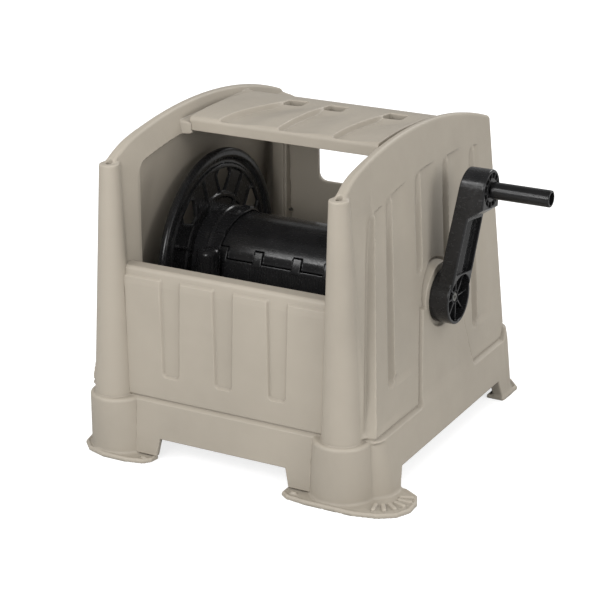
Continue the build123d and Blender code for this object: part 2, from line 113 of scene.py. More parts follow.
def brick(x, y, z, x_range, y_range, z_range, radius):
    a = round_common(slab(x, *x_range), slab(y, *y_range), radius)
    return round_common(a, slab(z, *z_range), radius)


def segment(value, points):
    """Straight-line interpolation through (value, result) points."""
    xs = [p[0] for p in points]
    ys = [p[1] for p in points]
    return np.interp(value, xs, ys).astype(np.asarray(value).dtype)


def capsule(u, v, length, r_low, r_high):
    """Outline round two circles, at v = 0 and v = length, seen face on."""
    slope = (r_low - r_high) / length
    straight = math.sqrt(1.0 - slope * slope)
    side = np.abs(u)
    along = side * -slope + v * straight
    low = np.sqrt(u ** 2 + v ** 2) - r_low
    high = np.sqrt(u ** 2 + (v - length) ** 2) - r_high
    flank = side * straight + v * slope - r_low
    return np.where(along < 0, low, np.where(along > length * straight, high, flank))


# ---------------------------------------------------------------- mesh from a field

def field_mesh(name, distance, low, high, step, budget=190000):
    """A closed mesh where distance(x, y, z) is zero, one vertex per crossed cell."""
    step = step * FINE
    axes = [np.arange(low[i] - SPARE, high[i] + SPARE + step, step, dtype=np.float32) for i in range(3)]
    counts = [len(axis) for axis in axes]
    field = distance(axes[0][:, None, None], axes[1][None, :, None], axes[2][None, None, :])
    field = np.broadcast_to(field, counts).astype(np.float32)
    inside = field < 0
    total = np.zeros([c - 1 for c in counts], np.uint8)
    for i in (0, 1):
        for j in (0, 1):
            for k in (0, 1):
                total += inside[i:counts[0] - 1 + i, j:counts[1] - 1 + j, k:counts[2] - 1 + k]
    cells = np.argwhere((total > 0) & (total < 8))
    index = np.full(total.shape, -1, np.int32)
    index[tuple(cells.T)] = np.arange(len(cells))
    sums = np.zeros((len(cells), 3))
    hits = np.zeros(len(cells))
    for axis in range(3):
        others = [a for a in range(3) if a != axis]
        for p in (0, 1):
            for q in (0, 1):
                start = cells.copy()
                start[:, others[0]] += p
                start[:, others[1]] += q
                end = start.copy()
                end[:, axis] += 1
                f0 = field[tuple(start.T)]
                f1 = field[tuple(end.T)]
                cross = (f0 < 0) != (f1 < 0)
                t = np.where(cross, f0 / np.where(f0 == f1, 1, f0 - f1), 0)
                spot = start.astype(float)
                spot[:, axis] += t
                sums += spot * cross[:, None]
                hits += cross
    spots = sums / hits[:, None]
    points = np.stack([float(axes[i][0]) + spots[:, i] * step for i in range(3)], 1)
    quads = []
    for axis in range(3):
        a, b = [i for i in range(3) if i != axis]
        near = [slice(None)] * 3
        far = [slice(None)] * 3
        near[axis] = slice(0, -1)
        far[axis] = slice(1, None)
        changed = inside[tuple(near)] != inside[tuple(far)]
        edges = np.argwhere(changed)
        edges = edges[(edges[:, a] > 0) & (edges[:, b] > 0)]
        edges = edges[(edges[:, a] < counts[a] - 1) & (edges[:, b] < counts[b] - 1)]
        corners = []
        for da, db in ((1, 1), (0, 1), (0, 0), (1, 0)):
            cell = edges.copy()
            cell[:, a] -= da
            cell[:, b] -= db
            corners.append(index[tuple(cell.T)])
        quad = np.stack(corners, 1)
        flip = inside[tuple(edges.T)] if axis != 1 else ~inside[tuple(edges.T)]
        quad[~flip] = quad[~flip][:, ::-1]
        quads.append(quad)
    points, slopes = settle(points, distance, step, 3)
    piece = mesh_object(name, points, np.concatenate(quads))
    if 2 * len(piece.data.polygons) > budget:
        thin_out(piece, budget / (2 * len(piece.data.polygons)))
        points, slopes = settle(read_points(piece), distance, step, 1)
        write_points(piece, points)
    shade_by_slope(piece, slopes)
    return piece


def settle(points, distance, step, rounds):
    """Pulls points on to the surface along the field's slope, and returns that slope."""
    small = 0.25
    for turn in range(rounds + 1):
        x, y, z = points.T
        slope = np.stack([
            distance(x + small, y, z) - distance(x - small, y, z),
            distance(x, y + small, z) - distance(x, y - small, z),
            distance(x, y, z + small) - distance(x, y, z - small)], 1) / (2 * small)
        if turn == rounds:
            return points, slope
        length = np.maximum((slope ** 2).sum(1), 0.05)
        move = -(distance(x, y, z) / length)[:, None] * slope
        far = np.sqrt((move ** 2).sum(1))
        move *= np.minimum(1.0, 0.5 * step / np.maximum(far, 1e-9))[:, None]
        points = points + move


def read_points(piece):
    co = np.zeros(len(piece.data.vertices) * 3, np.float32)
    piece.data.vertices.foreach_get("co", co)
    return co.reshape(-1, 3).astype(float) * MM + ORIGIN


def write_points(piece, points):
    co = ((points - ORIGIN) / MM).astype(np.float32)
    piece.data.vertices.foreach_set("co", co.ravel())
    piece.data.update()


def thin_out(piece, ratio):
    """Fewer faces where the surface is flat."""
    cut = piece.modifiers.new("thin", "DECIMATE")
    cut.ratio = ratio
    shapes = bpy.context.evaluated_depsgraph_get()
    mesh = bpy.data.meshes.new_from_object(piece.evaluated_get(shapes), depsgraph=shapes)
    piece.modifiers.remove(cut)
    old = piece.data
    piece.data = mesh
    mesh.name = old.name
    bpy.data.meshes.remove(old)


def shade_by_slope(piece, slopes):
    """Sets the normals from the field, except where the mesh turns sharply."""
    mesh = piece.data
    mesh.shade_smooth()
    length = np.sqrt((slopes ** 2).sum(1))
    wanted = slopes / np.maximum(length, 1e-6)[:, None]
    own = np.zeros(len(mesh.vertices) * 3, np.float32)
    mesh.vertices.foreach_get("normal", own)
    own = own.reshape(-1, 3)
    trust = ((wanted * own).sum(1) > 0.7) & (length > 0.3)
    mixed = np.where(trust[:, None], wanted, own)
    mesh.normals_split_custom_set_from_vertices(mixed.astype(np.float32))


def mesh_object(name, points, faces):
    mesh = bpy.data.meshes.new(name)
    mesh.vertices.add(len(points))
    mesh.vertices.foreach_set("co", ((points - ORIGIN) / MM).astype(np.float32).ravel())
    faces = np.asarray(faces, np.int32)
    sides = faces.shape[1]
    mesh.loops.add(faces.size)
    mesh.loops.foreach_set("vertex_index", faces.ravel())
    mesh.polygons.add(len(faces))
    mesh.polygons.foreach_set("loop_start", np.arange(0, faces.size, sides, dtype=np.int32))
    mesh.update(calc_edges=True)
    mesh.validate()
    piece = bpy.data.objects.new(name, mesh)
    bpy.context.scene.collection.objects.link(piece)
    return piece


def place(piece, body, nodes, material):
    piece.data.materials.clear()
    piece.data.materials.append(material)
    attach(piece, body)
    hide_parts(*nodes)
    return piece


# ---------------------------------------------------------------- materials

class Nodes:
    """Short names for building a node material."""

    def __init__(self, name):
        self.material = bpy.data.materials.new(name)
        self.material.use_nodes = True
        self.tree = self.material.node_tree
        self.tree.nodes.clear()
        self.out = self.tree.nodes.new("ShaderNodeOutputMaterial")
        self.shader = self.tree.nodes.new("ShaderNodeBsdfPrincipled")
        self.link(self.shader.outputs[0], self.out.inputs[0])
        self.coords = self.tree.nodes.new("ShaderNodeTexCoord").outputs["Object"]

    def link(self, source, target):
        self.tree.links.new(source, target)

    def put(self, target, value):
        if hasattr(value, "is_output"):
            self.link(value, target)
        else:
            target.default_value = value

    def noise(self, scale, detail=3.0, stretch=None, roughness=0.55):
        node = self.tree.nodes.new("ShaderNodeTexNoise")
        node.inputs["Scale"].default_value = scale
        node.inputs["Detail"].default_value = detail
        node.inputs["Roughness"].default_value = roughness
        source = self.coords
        if stretch:
            mapping = self.tree.nodes.new("ShaderNodeMapping")
            mapping.inputs["Scale"].default_value = stretch
            self.link(source, mapping.inputs[0])
            source = mapping.outputs[0]
        self.link(source, node.inputs["Vector"])
        return node.outputs["Fac"]

    def spread(self, value, low, high, to_low=0.0, to_high=1.0):
        node = self.tree.nodes.new("ShaderNodeMapRange")
        self.put(node.inputs[0], value)
        for slot, number in zip((1, 2, 3, 4), (low, high, to_low, to_high)):
            node.inputs[slot].default_value = number
        return node.outputs[0]

    def mix(self, amount, first, second):
        node = self.tree.nodes.new("ShaderNodeMix")
        node.data_type = "RGBA"
        self.put(node.inputs["Factor"], amount)
        self.put(node.inputs[6], first)
        self.put(node.inputs[7], second)
        return node.outputs[2]

    def maths(self, kind, first, second=0.0):
        node = self.tree.nodes.new("ShaderNodeMath")
        node.operation = kind
        self.put(node.inputs[0], first)
        self.put(node.inputs[1], second)
        return node.outputs[0]

    def edges(self, low, high):
        """1 on outside edges, 0 elsewhere."""
        node = self.tree.nodes.new("ShaderNodeNewGeometry")
        return self.spread(node.outputs["Pointiness"], low, high)

    def bump(self, height, strength, depth, base=None):
        node = self.tree.nodes.new("ShaderNodeBump")
        node.inputs["Strength"].default_value = strength
        node.inputs["Distance"].default_value = depth
        self.link(height, node.inputs["Height"])
        if base is not None:
            self.link(base, node.inputs["Normal"])
        return node.outputs[0]

    def finish(self, colour, roughness, normal=None, **more):
        self.put(self.shader.inputs["Base Color"], colour)
        self.put(self.shader.inputs["Roughness"], roughness)
        if normal is not None:
            self.link(normal, self.shader.inputs["Normal"])
        for label, value in more.items():
            self.put(self.shader.inputs[label.replace("_", " ")], value)
        return self.material


def resin(name, colour):
    """Satin moulded resin: fine mould grain, faint flow marks, painted shade in the hollows and painted
    highlights on the edges.
    """
    n = Nodes(name)
    dark = tuple(c * 0.93 for c in colour) + (1,)
    light = tuple(min(1, c * 1.05) for c in colour) + (1,)
    cloud = n.spread(n.noise(6.0, 4.0), 0.35, 0.65)
    flow = n.spread(n.noise(14.0, 2.0, stretch=(1, 1, 0.25)), 0.4, 0.62)
    base = n.mix(cloud, dark, light)
    base = n.mix(n.maths("MULTIPLY", flow, 0.25), base, light)
    # painted shade: hollows and creases darkened to 0.78 of the colour
    dust_and_crevice_shade = n.maths("MULTIPLY", n.edges(0.5, 0.43), 0.6)
    base = n.mix(dust_and_crevice_shade, base, tuple(c * 0.78 for c in colour) + (1,))
    # painted highlight: convex edges paled to 1.22 of the colour, broken up by noise
    edge_highlight_and_wear = n.maths("MULTIPLY", n.edges(0.51, 0.56), n.spread(n.noise(60.0), 0.2, 0.7))
    base = n.mix(n.maths("MULTIPLY", edge_highlight_and_wear, 0.6), base, tuple(min(1, c * 1.22) for c in colour) + (1,))
    grain = n.noise(1400.0, 2.0)
    pebble = n.noise(420.0, 1.0)
    waviness = n.noise(9.0, 1.0)
    normal = n.bump(waviness, 0.12, 0.002)
    normal = n.bump(pebble, 0.10, 0.0006, normal)
    normal = n.bump(grain, 0.16, 0.0003, normal)
    rough = n.spread(n.noise(30.0, 4.0), 0.3, 0.7, 0.46, 0.56)
    return n.finish(base, rough, normal, Specular_IOR_Level=0.35)


def black_plastic(name, tone, rough_low, rough_high):
    """Semi-gloss black moulding with flow marks, dust in the hollows and light scuffs."""
    n = Nodes(name)
    base = n.mix(n.spread(n.noise(25.0, 4.0), 0.35, 0.7), (tone, tone, tone * 1.05, 1),
                 (tone * 1.7, tone * 1.68, tone * 1.75, 1))
    dust_and_crevice_shade = n.maths("MULTIPLY", n.edges(0.5, 0.42), n.spread(n.noise(80.0), 0.35, 0.7))
    base = n.mix(n.maths("MULTIPLY", dust_and_crevice_shade, 0.10), base, (0.06, 0.057, 0.05, 1))
    edge_highlight_and_wear = n.maths("MULTIPLY", n.edges(0.53, 0.6), 0.2)
    base = n.mix(edge_highlight_and_wear, base, (0.09, 0.09, 0.095, 1))
    scuff = n.noise(160.0, 3.0, stretch=(1, 6, 1))
    normal = n.bump(n.noise(500.0, 2.0), 0.04, 0.0002)
    normal = n.bump(n.noise(12.0, 1.0), 0.10, 0.001, normal)
    rough = n.spread(scuff, 0.35, 0.75, rough_low, rough_high)
    return n.finish(base, rough, normal, Specular_IOR_Level=0.4)


def plated_steel():
    n = Nodes("zinc_plated_steel")
    base = n.mix(n.noise(90.0, 3.0), (0.20, 0.20, 0.19, 1), (0.32, 0.31, 0.29, 1))
    spots = n.spread(n.noise(240.0, 3.0), 0.62, 0.75)
    base = n.mix(n.maths("MULTIPLY", spots, 0.5), base, (0.25, 0.18, 0.12, 1))
    rough = n.spread(n.noise(150.0), 0.3, 0.7, 0.28, 0.45)
    return n.finish(base, rough, n.bump(n.noise(700.0), 0.1, 0.0002), Metallic=1.0)


def acetal():
    n = Nodes("acetal")
    base = n.mix(n.noise(60.0, 3.0), (0.72, 0.72, 0.68, 1), (0.82, 0.82, 0.79, 1))
    rough = n.spread(n.noise(90.0), 0.3, 0.7, 0.35, 0.5)
    return n.finish(base, rough, n.bump(n.noise(600.0), 0.1, 0.0002))


def seal_rubber():
    n = Nodes("seal_rubber")
    base = n.mix(n.noise(80.0, 3.0), (0.012, 0.012, 0.012, 1), (0.03, 0.03, 0.03, 1))
    rough = n.spread(n.noise(120.0), 0.3, 0.7, 0.65, 0.85)
    return n.finish(base, rough, n.bump(n.noise(900.0), 0.2, 0.0002))


TAUPE = resin("taupe_resin", (0.318, 0.284, 0.235))
BLACK = black_plastic("black_resin", 0.009, 0.18, 0.32)
GRIP_BLACK = black_plastic("grip_plastic", 0.006, 0.2, 0.3)
STEEL = plated_steel()
ACETAL = acetal()
RUBBER = seal_rubber()

# ---------------------------------------------------------------- cabinet (mm)
WALL = 5.0
AXLE_Z = 235.0
END_X = 153.0              # where the cross panels meet the side panels
FRONT_END_X = 171.0        # how far the front panel's face may run on towards the columns
SHOULDER_X = 192.0         # outer face of a side panel at the shoulder's height
SHOULDER_Z = 450.0
SIDE_LEAN = 0.127          # how fast the side's plane spreads on its way down
COLUMN_LEAN = 0.104        # the same for the strip behind the column
FRAME_X = 166.0            # inner face of the frame at the opening's edge
FRONT_Y = -249.0           # front and rear of the side panels
REAR_Y = 246.0
ARCH_R = 819.5
ARCH_Y = -27.5
ARCH_TOP = 491.5
COLUMN_TOP_Z = 446.0
COLUMN_Y = -255.0          # middle of a column at its top
COLUMN_X = 184.0
SKIRT_Z = 93.0
SKIRT_PROUD = 5.0
FOOT_GAP = 34.0            # height of the arches between the feet
PEDAL_T = 7.0
BOSS_OUT = 222.0           # outer face of the bearing boss
BOSS_R = 50.0
BUSH_OUT_R = 28.0
WINDOW_Y = -201.0          # front end of the opening inside the frame
WINDOW_DROP = 40.0         # how far the opening's top stays below the arch
FRONT_LIP_Z = 293.6
REAR_TOP_Z = 432.0
TOP_FRONT_Y = -80.0
TOP_REAR_Y = 128.0

# (y, z) of each side rib's foot and top, the y and z where its crease fades out, and its share
# of the full depth
side_ribs = [
    ((-240.0, 103.0), (-177.0, 406.0), -140.0, 411.0, 0.6),
    ((-167.0, 153.0), (-120.6, 416.0), -62.0, 424.0, 1.0),
    ((-46.6, 284.6), (-23.6, 426.0), 40.0, 429.0, 1.0),
    ((30.0, 178.0), (71.5, 425.0), 133.0, 424.0, 1.0),
    ((124.0, 147.0), (167.0, 418.0), 190.0, 413.5, 1.0),
]
rib_dimples = ((-156.0, 166.0), (135.0, 160.0))


def arch_height(y):
    """The rim of a side panel, which drops a little faster towards the column's cap."""
    arc = ARCH_TOP - ARCH_R + np.sqrt(ARCH_R ** 2 - (y - ARCH_Y) ** 2)
    return arc - 0.0035 * np.clip(-200 - y, 0, 60) ** 2


def front_face(z):
    """y of the front panel's plates, and of its skirt below them."""
    return segment(z, [(0, -266.4), (FOOT_GAP, -264.4), (SKIRT_Z - 3, -259.6), (SKIRT_Z + 1, -256.9),
                       (270, -255.8), (283, -254.6), (300, -253.0)])


def side_relief(y, z):
    """How far the ribs stand out of the side's plane."""
    out = 0.0 * y * z
    for foot, top, rear_y, rear_z, share in side_ribs:
        line_y = foot[0] + (top[0] - foot[0]) * (z - foot[1]) / (top[1] - foot[1])
        past = y - line_y
        crease_z = segment(y, [(top[0], top[1]), (rear_y, rear_z)])
        below = ramp(-1.0, 1.6, crease_z - z)
        above_foot = ramp(foot[1] - 6, foot[1] + 8, z)
        depth = share * (3.0 + 4.5 * ramp(4, 80, top[1] - z))
        dip = depth * ramp(-18, -4, past) * ramp(2.5, -3.5, past)
        crest = 2.5 * bell(past - 3.0, 3.0) * ramp(0, 8, crease_z - z)
        plate = 2.7 * ramp(1.0, 6.0, past) * ramp(rear_y - line_y - 2, 0.35 * (rear_y - line_y), past)
        out = out + (crest - dip * ramp(-2, 12, top[1] - z) - plate * below) * above_foot
    for spot_y, spot_z in rib_dimples:
        out = out + 2.4 * bell(np.sqrt((y - spot_y) ** 2 + (z - spot_z) ** 2), 4.6)
        out = out - 2.2 * bell(np.sqrt((y - spot_y + 6) ** 2 + (z - spot_z + 5) ** 2), 4.2)
    return out


# (y, z) outline of the raised tongue that runs up from the skirt to the boss
tongue = [(-94, 60), (-94, SKIRT_Z), (-60, 230), (60, 230), (94, SKIRT_Z), (94, 60)]


def plain_skin(y, z, ledge_from=-3.0, ledge_to=3.0):
    """x of the side's outer face before its relief."""
    plane = SHOULDER_X + (SHOULDER_Z - z) * SIDE_LEAN
    strip = SHOULDER_X + (SHOULDER_Z - z) * COLUMN_LEAN - 2.5 * ramp(440, 395, z)
    ledge_y = segment(z, [(0, -252), (103, -240), (406, -177), (450, -177)])
    return strip + (plane - strip) * ramp(ledge_from, ledge_to, y - ledge_y)


def side_skin(y, z):
    """x of the side's outer face with ribs, skirt, tongue and boss."""
    relief = side_relief(y, z)
    skin = plain_skin(y, z) + relief
    hub = np.sqrt(y ** 2 + (z - AXLE_Z) ** 2)
    skirt_top = SKIRT_Z + 17 * ramp(206, 224, y)
    proud = outline_distance(y, z, tongue)
    proud = np.minimum(soft_union(proud, z - skirt_top, 5.0), hub - BOSS_R)
    height = segment(z, [(SKIRT_Z, SKIRT_PROUD), (SKIRT_Z + 18, 3.2)]) + 1.5 * ramp(206, 224, y)
    step = ramp(1.6, -1.6, proud)
    skin = skin + (height - relief) * step - 3.6 * bell(proud - 2.6, 2.0)
    skin = skin + (np.maximum(skin, BOSS_OUT) - skin) * ramp(52, 49, hub)
    return skin + (BOSS_OUT - skin) * ramp(47.5, 45, hub)


def frame_face(y, z):
    """x of the inner face of the frame round the opening."""
    depth = soft_union(np.minimum(y - FRONT_Y, 60.0), arch_height(y) - z, 20.0)
    return FRAME_X + 0.25 * np.clip(40 - depth, 0, 40)


def frame_inner(y, z):
    """The same, with the seats where the cross panels' ends are screwed on."""
    face = frame_face(y, z)
    front_seat = ramp(7, 14, y - front_face(z)) * ramp(280, 276, z)
    beside_top = ramp(TOP_FRONT_Y - 4, TOP_FRONT_Y + 2, y) * ramp(TOP_REAR_Y + 4, TOP_REAR_Y - 2, y)
    top_seat = ramp(471, 466, z) * beside_top
    rear_seat = ramp(197, 203, y) * ramp(440, 434, z)
    seat = np.maximum(np.maximum(front_seat, top_seat), rear_seat)
    return face + (END_X - face) * seat


def column_field(x, y, z, inset):
    """The slim tapering front column, made smaller by the inset."""
    centre_x = segment(z, [(95, 189.5), (COLUMN_TOP_Z, COLUMN_X)])
    centre_y = segment(z, [(95, -250), (COLUMN_TOP_Z, COLUMN_Y)])
    radius = segment(z, [(0, 33.2), (95, 30), (COLUMN_TOP_Z, 14.5)])
    return np.sqrt((x - centre_x) ** 2 + (y - centre_y) ** 2) - radius + inset


def socket_field(x, y, z, inset):
    """The round base that the column stands in, made smaller by the inset."""
    centre_x = segment(z, [(0, 185), (SKIRT_Z, 187)])
    centre_y = segment(z, [(0, -234), (SKIRT_Z, -245)])
    radius = segment(z, [(0, 50), (SKIRT_Z, 42)])
    wall = np.sqrt((x - centre_x) ** 2 + (y - centre_y) ** 2) - radius + inset
    return round_common(wall, z - SKIRT_Z + inset, 5.0)


# (x, y) outlines of the foot flanges, and (y, z) of the arch between a side's feet
plain_pad = [(112, -258), (114, -274), (124, -285), (150, -291), (190, -291), (220, -281),
             (238, -262), (243, -240), (240, -214), (226, -200), (200, -240)]
step_pad = [(108, -258), (108, -280), (120, -289), (150, -293), (226, -293), (262, -284),
            (285, -268), (295, -246), (294, -222), (284, -200), (262, -187), (240, -187), (200, -240)]
rear_pad = [(112, 240), (116, 262), (190, 268), (236, 264), (256, 240), (254, 184), (226, 184),
            (226, 226), (160, 238)]
side_arch = [(-190, -30), (-188, 4), (-176, FOOT_GAP), (176, FOOT_GAP), (186, 4), (188, -30)]


def foot_pads(x, y, z, with_pedal):
    """Flat flanges under the front and rear foot, each with a rim."""
    front_pad = outline_distance(x, y, step_pad if with_pedal else plain_pad)
    pads = np.minimum(front_pad, outline_distance(x, y, rear_pad))
    rim = 1.6 * bell(pads + 3.2, 2.0)
    pad = round_common(pads, z - (PEDAL_T - 1.5 + rim), 1.8)
    bump = np.sqrt(((x - 126) / 1.7) ** 2 + (y + 277) ** 2 + (z - PEDAL_T + 1.5) ** 2) - 3.4
    pad = soft_union(pad, bump, 1.5)
    return np.minimum(pad, pedal_ridges(x, y, z)) if with_pedal else pad


def pedal_ridges(x, y, z):
    """Raised ribs that fan out over the step pedal."""
    best = None
    for angle in (-78, -58, -38, -18, 2, 22):
        c, s = math.cos(math.radians(angle)), math.sin(math.radians(angle))
        u = (x - 240) * c + (y + 228) * s
        v = -(x - 240) * s + (y + 228) * c
        along = np.maximum(np.abs(u - 37) - 8, 0)
        ridge = np.sqrt(along ** 2 + v ** 2) - 3.4
        ridge = round_common(ridge, z - PEDAL_T - 2.0, 1.8)
        ridge = np.maximum(ridge, 2.0 - z)
        best = ridge if best is None else np.minimum(best, ridge)
    return best


def side_panel_field(with_pedal):
    def field(x, y, z):
        outer = (x - side_skin(y, z)) * 0.992
        rear = y - REAR_Y
        corner = np.maximum(10 + 0.065 * (440 - z), 8)
        top = (z - arch_height(y) + 0.12 * np.clip(185 - x, 0, 40)) * 0.97
        inner_face = frame_inner(y, z)
        body = round_common(outer, rear, corner)
        body = round_common(body, top, 5.0)
        corner_r = segment(z, [(0, 44), (88, 36), (100, 8)])
        front_y = segment(z, [(380, FRONT_Y), (440, FRONT_Y - 8)])
        body = round_common(body, front_y - y, corner_r)
        body = round_common(body, inner_face - x, 3.5)
        column = round_common(column_field(x, y, z, 0.0), z - COLUMN_TOP_Z, 2.5)
        body = soft_union(body, column, 5.0)
        body = soft_union(body, socket_field(x, y, z, 0.0), 1.5)
        # hollow inside, behind the inner lip
        hollow = (x - plain_skin(y, z, 4.0, 50.0)) * 0.992 + 12.5
        hollow = round_common(hollow, rear + 7, 8.0)
        hollow = round_common(hollow, top + 7, 3.0)
        hollow = round_common(hollow, FRONT_Y + 8 - y, np.maximum(corner_r - 5, 2.0))
        hollow = round_common(hollow, frame_face(y, z) + 7 - x, 1.5)
        hollow_column = np.maximum(column_field(x, y, z, 8.5), z - COLUMN_TOP_Z + 6)
        hollow = np.minimum(hollow, np.minimum(hollow_column, socket_field(x, y, z, 6.0)))
        window = round_common(WINDOW_Y - y, y - REAR_Y + 41, 12)
        window = round_common(window, z - arch_height(y) + WINDOW_DROP, 12)
        window = np.maximum(window, x - FRAME_X - 12)
        shell = round_common(body, -np.minimum(hollow, window), 1.4)
        # bearing boss and its sleeve
        radius = np.sqrt(y ** 2 + (z - AXLE_Z) ** 2)
        boss = round_common(radius - BOSS_R, slab(x, BOSS_OUT - 9, BOSS_OUT), 1.0)
        sleeve = round_common(radius - 34, slab(x, 200, BOSS_OUT), 1.0)
        shell = soft_union(shell, np.minimum(boss, sleeve), 2.0)
        shell = np.maximum(shell, BUSH_OUT_R - radius)
        # arch between the feet, then the flanged feet
        gap = outline_distance(y, z, side_arch) - 1.0
        shell = round_common(shell, -gap, 2.2)
        shell = soft_union(shell, foot_pads(x, y, z, with_pedal), 5.0)
        shell = round_common(shell, -z, 1.2)
        hole = np.maximum(np.sqrt((x - COLUMN_X) ** 2 + (y - COLUMN_Y) ** 2) - 4.6, 430 - z)
        return round_common(shell, -hole, 0.8)
    return field


def mirrored(field):
    return lambda x, y, z: field(-x, y, z)


def cabinet_piece(node, field, step, box=None):
    low, high = box or cad_box(node)
    piece = field_mesh(node + "_shell", field, low, high, step)
    return place(piece, "cabinet", [node], TAUPE)


COARSE = 2.0               # grid steps of the cabinet's pieces
MEDIUM = 1.7
cabinet_piece("right_side_panel", side_panel_field(True), COARSE)
cabinet_piece("left_side_panel", mirrored(side_panel_field(False)), COARSE)

# ---------------------------------------------------------------- cross panels

def panel_plates(x, z, top_z, low_z, half_top, half_low):
    """1 on the proud plates, 0 in the sunk channels and the lip band above them."""
    sunk = None
    for middle in (-88.0, 0.0, 88.0):
        half = segment(z, [(low_z, half_low), (top_z, half_top)])
        channel = round_common(np.abs(x - middle) - half, low_z - z, 6.0)
        sunk = channel if sunk is None else np.minimum(sunk, channel)
    return ramp(-1.8, 1.8, soft_union(sunk, top_z - z, 3.0))


# (x, z) outline of the arch between the front feet
front_arch = [(-112, -30), (-110, 4), (-104, FOOT_GAP), (104, FOOT_GAP), (110, 4), (112, -30)]


def front_panel_field(x, y, z):
    """Upright plates between the columns, a rolled lip above and a skirt below."""
    plates = panel_plates(x, z, 281.0, 133.0, 16.0, 13.0)
    face = front_face(z) + 4.0 * (1 - plates) * ramp(SKIRT_Z + 6, SKIRT_Z + 16, z)
    face = face + 3.0 * bell(z - SKIRT_Z - 1.5, 2.0)
    outer = (face - y) * 0.99
    lip = round_common(outer, z - FRONT_LIP_Z, 6.0)
    back_y = -225.0 + 19.0 * ramp(144, 148, np.abs(x)) * ramp(284, 278, z)
    body = round_common(lip, y - back_y, 2.0)
    inner = round_common((front_face(z) + 4.0 - y) * 0.99 + WALL, z - FRONT_LIP_Z + WALL, 3.5)
    hollow = np.maximum(inner, np.abs(x) - END_X + WALL)
    body = np.maximum(body, y - segment(z, [(0, -238), (100, -228), (200, -206), (300, -206)]))
    body = round_common(body, -hollow, 1.2)
    ends = np.abs(x) - np.minimum(frame_inner(y, z) - 0.5, FRONT_END_X)
    body = round_common(body, ends, 0.8)
    column = np.minimum(column_field(np.abs(x), y, z, 0.0), socket_field(np.abs(x), y, z, 0.0))
    body = round_common(body, -0.6 - column, 0.4)
    body = round_common(body, 1.0 - outline_distance(x, z, front_arch), 2.2)
    return round_common(body, PEDAL_T + 0.3 - z, 1.0)


def rear_panel_field(x, y, z):
    """The rear wall with its window."""
    face = segment(z, [(0, 241.5), (FOOT_GAP, 240), (REAR_TOP_Z, 222)])
    plates = panel_plates(x, z, 286.0, 112.0, 18.0, 14.0)
    outer = y - face + 2.0 * (1 - plates) * ramp(300, 288, z) * ramp(100, 110, z)
    body = round_common(outer, z - REAR_TOP_Z, 5.0)
    body = round_common(body, 206 - y, 1.5)
    inner = round_common(y - face + 2.0 + WALL, z - REAR_TOP_Z + WALL, 3.0)
    hollow = np.maximum(inner, np.abs(x) - END_X + WALL)
    body = np.maximum(body, segment(z, [(0, 218), (100, 210), (400, 200)]) - y)
    body = round_common(body, -hollow, 1.2)
    body = round_common(body, np.abs(x) - END_X, 1.2)
    window = round_common(np.abs(x) - 96, slab(z, 306, 404), 14)
    body = round_common(body, -window, 1.8)
    return round_common(body, FOOT_GAP - z, 1.2)


# where each seam leaves the lip, and where the slot at its rear end starts
top_seams = ((-106.0, -73.0), (-8.0, -4.0), (82.0, 96.0))


def top_panel_field(x, y, z):
    """Four lapped strips that step down at curved seams behind one front lip."""
    crown = 480.0 - 800.0 + np.sqrt(800.0 ** 2 - (y + 5) ** 2)
    drop = 0.0 * x * y
    for seam, slot_x in top_seams:
        past = x - seam - (slot_x - seam) * ramp(-70, 80, y)
        strip = ramp(-2, 3, past) * ramp(75, 10, past)
        drop = drop + 8.5 * strip * ramp(TOP_FRONT_Y, TOP_FRONT_Y + 12, y) * ramp(80, 30, y)
    outer = z - crown + drop
    body = round_common(outer, TOP_FRONT_Y - y, 7.0)
    body = round_common(body, y - TOP_REAR_Y, 6.0)
    body = round_common(body, np.abs(x) - segment(z, [(464, END_X), (470, 156.5)]), 2.0)
    hollow = round_common(z - crown + 13.0, TOP_FRONT_Y + 6 - y, 4.0)
    hollow = round_common(hollow, y - TOP_REAR_Y + 6, 4.0)
    hollow = np.maximum(hollow, np.abs(x) - END_X + WALL)
    body = round_common(body, -hollow, 1.2)
    body = round_common(body, segment(y, [(-80, 456), (128, 450)]) - z, 1.2)
    for _, slot_x in top_seams:
        slot = brick(x, y, z, (slot_x, slot_x + 32), (58, 86), (450, 500), 4.0)
        body = round_common(body, -slot, 1.5)
    return body


# the front panel reaches further along x than its CAD node
front_low, front_high = cad_box("front_panel")
front_low[0] = -FRONT_END_X
front_high[0] = FRONT_END_X
cabinet_piece("front_panel", front_panel_field, MEDIUM, (front_low, front_high))
cabinet_piece("rear_panel", rear_panel_field, COARSE)
cabinet_piece("top_panel", top_panel_field, MEDIUM)

# ---------------------------------------------------------------- reel
DRUM_R = 76.0
DRUM_WALL = 3.5
HUB_R = 34.0
JOURNAL_R = 24.95
OUTLET_X = -120.0
OUTLET_Y = -92.0
WINDOW_PITCH = 2 * math.pi / 7
SEAM_TURN = math.radians(19.0)     # how far the drum's seam is turned from level
# (across, out from the axle) outline of a flange window, before its corners are rounded
flange_window = [(-4, 106), (4, 106), (16, 127), (12, 133), (-12, 133), (-16, 127)]


def axle_radius(y, z):
    return np.sqrt(y ** 2 + (z - AXLE_Z) ** 2)


def folded(angle, first, pitch):
    return np.mod(angle - first + pitch / 2, pitch) - pitch / 2


def hexagon(y, z, flats):
    """Outline of a hexagonal bar on the axle."""
    w = z - AXLE_Z
    slant = math.sqrt(0.75)
    slanted = np.maximum(np.abs(y * slant + w * 0.5), np.abs(y * slant - w * 0.5))
    return np.maximum(np.abs(w), slanted) - flats / 2


